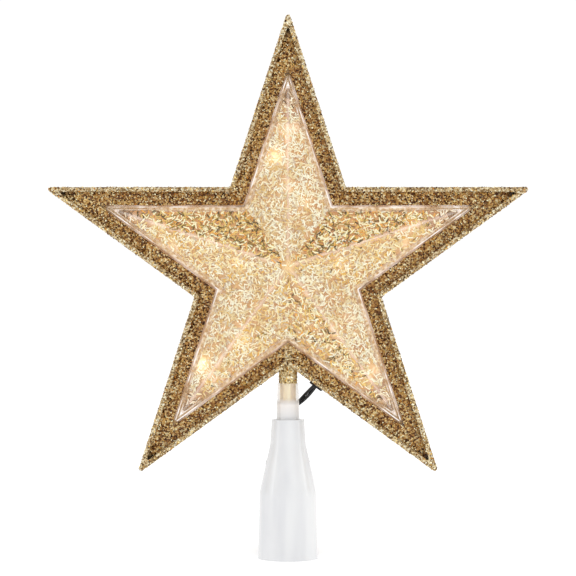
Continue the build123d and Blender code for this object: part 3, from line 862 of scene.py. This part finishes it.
def flakeFilm(name, look):
    # Mottled cream and rose
    material, tree, shader = newMaterial(name, Roughness=0.4, Alpha=0.55)
    colour = addRamp(tree, addNoise(tree, 210.0, 4.0), look["mottle"])
    rose = addRamp(tree, addNoise(tree, 80.0, 2.0), look["rose"])
    colour = addMix(tree, look["roseShare"], colour, rose, "MULTIPLY")
    # Painted shade: facets that look up are drawn golden and darker
    upwardShade = addRange(tree, addAxis(tree, addCoord(tree, "Normal"), "Z"), 0.38, 0.44, 0.0, 1.0)
    golden = addMix(tree, 1.0, colour, fromScreen(*look["upwardShade"]), "MULTIPLY")
    colour = addMix(tree, upwardShade, colour, golden)
    along, across = addArmPlace(tree)
    # Painted highlight: a pale band along each ridge
    ridge = addRange(tree, across, *look["ridgeReach"], 0.9, 0.0)
    colour = addMix(tree, ridge, colour, fromScreen(*look["ridge"]))
    nearer, near, far, farther = look["endBand"]
    # Painted shade where the lit lamp plate ends
    ends = addRange(tree, along, nearer, near, 0.0, 0.8)
    ends = addMath(tree, "MINIMUM", ends, addRange(tree, along, far, farther, 0.8, 0.2))
    colour = addMix(tree, ends, colour, fromScreen(*look["ends"]))
    # Painted pale rings: the holders as the facets would show them
    colour = addMix(tree, spotRings(tree, ringSpots, lightLook), colour, fromScreen(*look["ring"]))
    apart = addVector(tree, "DISTANCE", addCoord(tree), tuple(lensApex))
    heart = addRange(tree, apart, *look["heartReach"], 0.8, 0.0)
    colour = addMix(tree, heart, colour, fromScreen(*look["heart"]))
    # Painted light: the film gives off light, faintly all over and strongly at the bright spots
    glow = spotGlow(tree, sparkleSpots, lightLook["sparkleReach"])
    linkGlowing(tree, shader, addMix(tree, glow, colour, fromScreen(*look["sparkle"])))
    tree.links.new(addRange(tree, glow, 0, 1, *look["glow"]), shader.inputs["Emission Strength"])
    return material


finishNode("flake_lining", flakeFilm("flakeFilm", filmLook))
print("film finished")


# Lamps: lit glass in cream holders on a cream plate

lampLook = {
    "plate": [(0.3, (224, 190, 138)), (0.7, (242, 218, 170))],
    "plateGlow": (0.35, 0.5),
    "plateReach": 17.6 * mm,
    "glass": [(0.0, (240, 178, 92)), (0.6, (255, 224, 158)), (1.0, (255, 246, 220))],
    "glassDepth": (-8.8 * mm, -1.6 * mm),
    "glassGlow": 1.0,
    "holder": [(0.3, (236, 212, 172)), (0.7, (250, 234, 204))],
    "holderGlow": 0.5,
}


def litPlate(name, look):
    # Lit by the lamps that stand on it
    material, tree, shader = newMaterial(name, Roughness=0.5)
    linkGlowing(tree, shader, addRamp(tree, addNoise(tree, 90.0, 3.0), look["plate"]))
    glow = addRange(tree, spotGlow(tree, lampSpots, look["plateReach"]), 0, 1, *look["plateGlow"])
    tree.links.new(glow, shader.inputs["Emission Strength"])
    addBump(tree, shader, addNoise(tree, 1400.0), 0.15)
    return material


def lampGlass(name, look):
    # Hot in front, amber towards the base
    material, tree, shader = newMaterial(name, Roughness=0.1, Emission_Strength=look["glassGlow"])
    heat = addRange(tree, addAxis(tree, addCoord(tree), "Y"), *look["glassDepth"], 1.0, 0.0)
    linkGlowing(tree, shader, addRamp(tree, heat, look["glass"]))
    return material


def holderPlastic(name, look):
    material, tree, shader = newMaterial(name, Roughness=0.35, Emission_Strength=look["holderGlow"])
    linkGlowing(tree, shader, addRamp(tree, addNoise(tree, 300.0, 3.0), look["holder"]))
    return material


finishNode("lamp_plate", litPlate("litPlate", lampLook))
bulbGlass = lampGlass("lampGlass", lampLook)
holderCream = holderPlastic("holderCream", lampLook)
for number in range(1, lampCount + 1):
    finishNode(f"bulb_{number:02d}", bulbGlass)
    finishNode(f"lamp_holder_{number:02d}", holderCream)
for number in range(1, lampCount + 2):
    finishNode(f"lamp_wire_{number:02d}", cordVinyl)
print("lamps lit")


# Socket: frosted white, thin enough at the neck to show the gold peg

socketLook = {
    "white": [(0.3, (212, 213, 216)), (0.7, (227, 228, 229))],
    # painted light: the peg's warm light through the neck's wall
    "neck": (233, 228, 224),
    "neckFrom": pegLow - 7.5 * mm,
    "pegFrom": pegLow - 0.4 * mm,
    "pegFade": 3.0 * mm,
    "neckAlpha": 0.34,
    # the peg's golds, drawn in vertical stripes as painted highlights
    "gold": [(0.35, (204, 164, 78)), (0.5, (232, 202, 120)), (0.65, (255, 243, 190))],
    "goldGlow": 0.22,  # light that the frosted neck passes on
}


def frostedWhite(name, look):
    material, tree, shader = newMaterial(name, Roughness=0.22, Specular_IOR_Level=0.6)
    # The frosted white runs in faint vertical streaks, partly grain and partly painted sheen of vertical
    # bands of light
    white = addRamp(tree, addStreaks(tree, 120.0, 0.12), look["white"])
    height = addAxis(tree, addCoord(tree), "Z")
    # Painted light: the neck is warmer and paler towards the peg, as the peg's gold light through the
    # frosted wall
    warm = addRange(tree, height, look["neckFrom"], look["pegFrom"], 0.0, 1.0)
    white = addMix(tree, warm, white, fromScreen(*look["neck"]))
    tree.links.new(white, shader.inputs["Base Color"])
    pegFull = look["pegFrom"] + look["pegFade"]
    clear = addRange(tree, height, look["pegFrom"], pegFull, 1.0, look["neckAlpha"])
    tree.links.new(clear, shader.inputs["Alpha"])
    addBump(tree, shader, addNoise(tree, 1800.0), 0.08)
    return material


def satinGold(name, look):
    material, tree, shader = newMaterial(
        name, Metallic=0.5, Roughness=0.3, Specular_IOR_Level=0.5, Emission_Strength=look["goldGlow"]
    )
    # Painted highlights: the gold runs in fine vertical stripes, lighter and darker
    linkGlowing(tree, shader, addRamp(tree, addStreaks(tree, 420.0, 0.05), look["gold"]))
    addBump(tree, shader, addNoise(tree, 900.0), 0.1)
    return material


finishNode("tree_socket", frostedWhite("frostedWhite", socketLook))
finishNode("post_peg", satinGold("satinGold", socketLook))
print("socket finished")


# Fittings: plug, tie, grommet and screws

def plainMetal(name, dark, light, rough):
    material, tree, shader = newMaterial(name, Metallic=1.0)
    grain = addNoise(tree, 700.0, 4.0)
    tree.links.new(addRamp(tree, grain, [(0.3, dark), (0.7, light)]), shader.inputs["Base Color"])
    tree.links.new(addRange(tree, grain, 0.2, 0.8, rough - 0.08, rough + 0.12), shader.inputs["Roughness"])
    return material


finishNode("plug_body", softVinyl("plugVinyl", (18, 18, 19), (34, 34, 36), 0.5))
finishNode("cord_grommet", softVinyl("grommetRubber", (14, 14, 14), (26, 26, 27), 0.6))
finishNode("hank_tie", softVinyl("tiePlastic", (20, 20, 21), (40, 40, 42), 0.45))
finishNode("plug_blades", plainMetal("bladeBrass", (196, 160, 84), (226, 196, 124), 0.3))
finishNode("cover_screws", plainMetal("screwZinc", (150, 146, 138), (190, 186, 176), 0.35))
print("fittings finished")
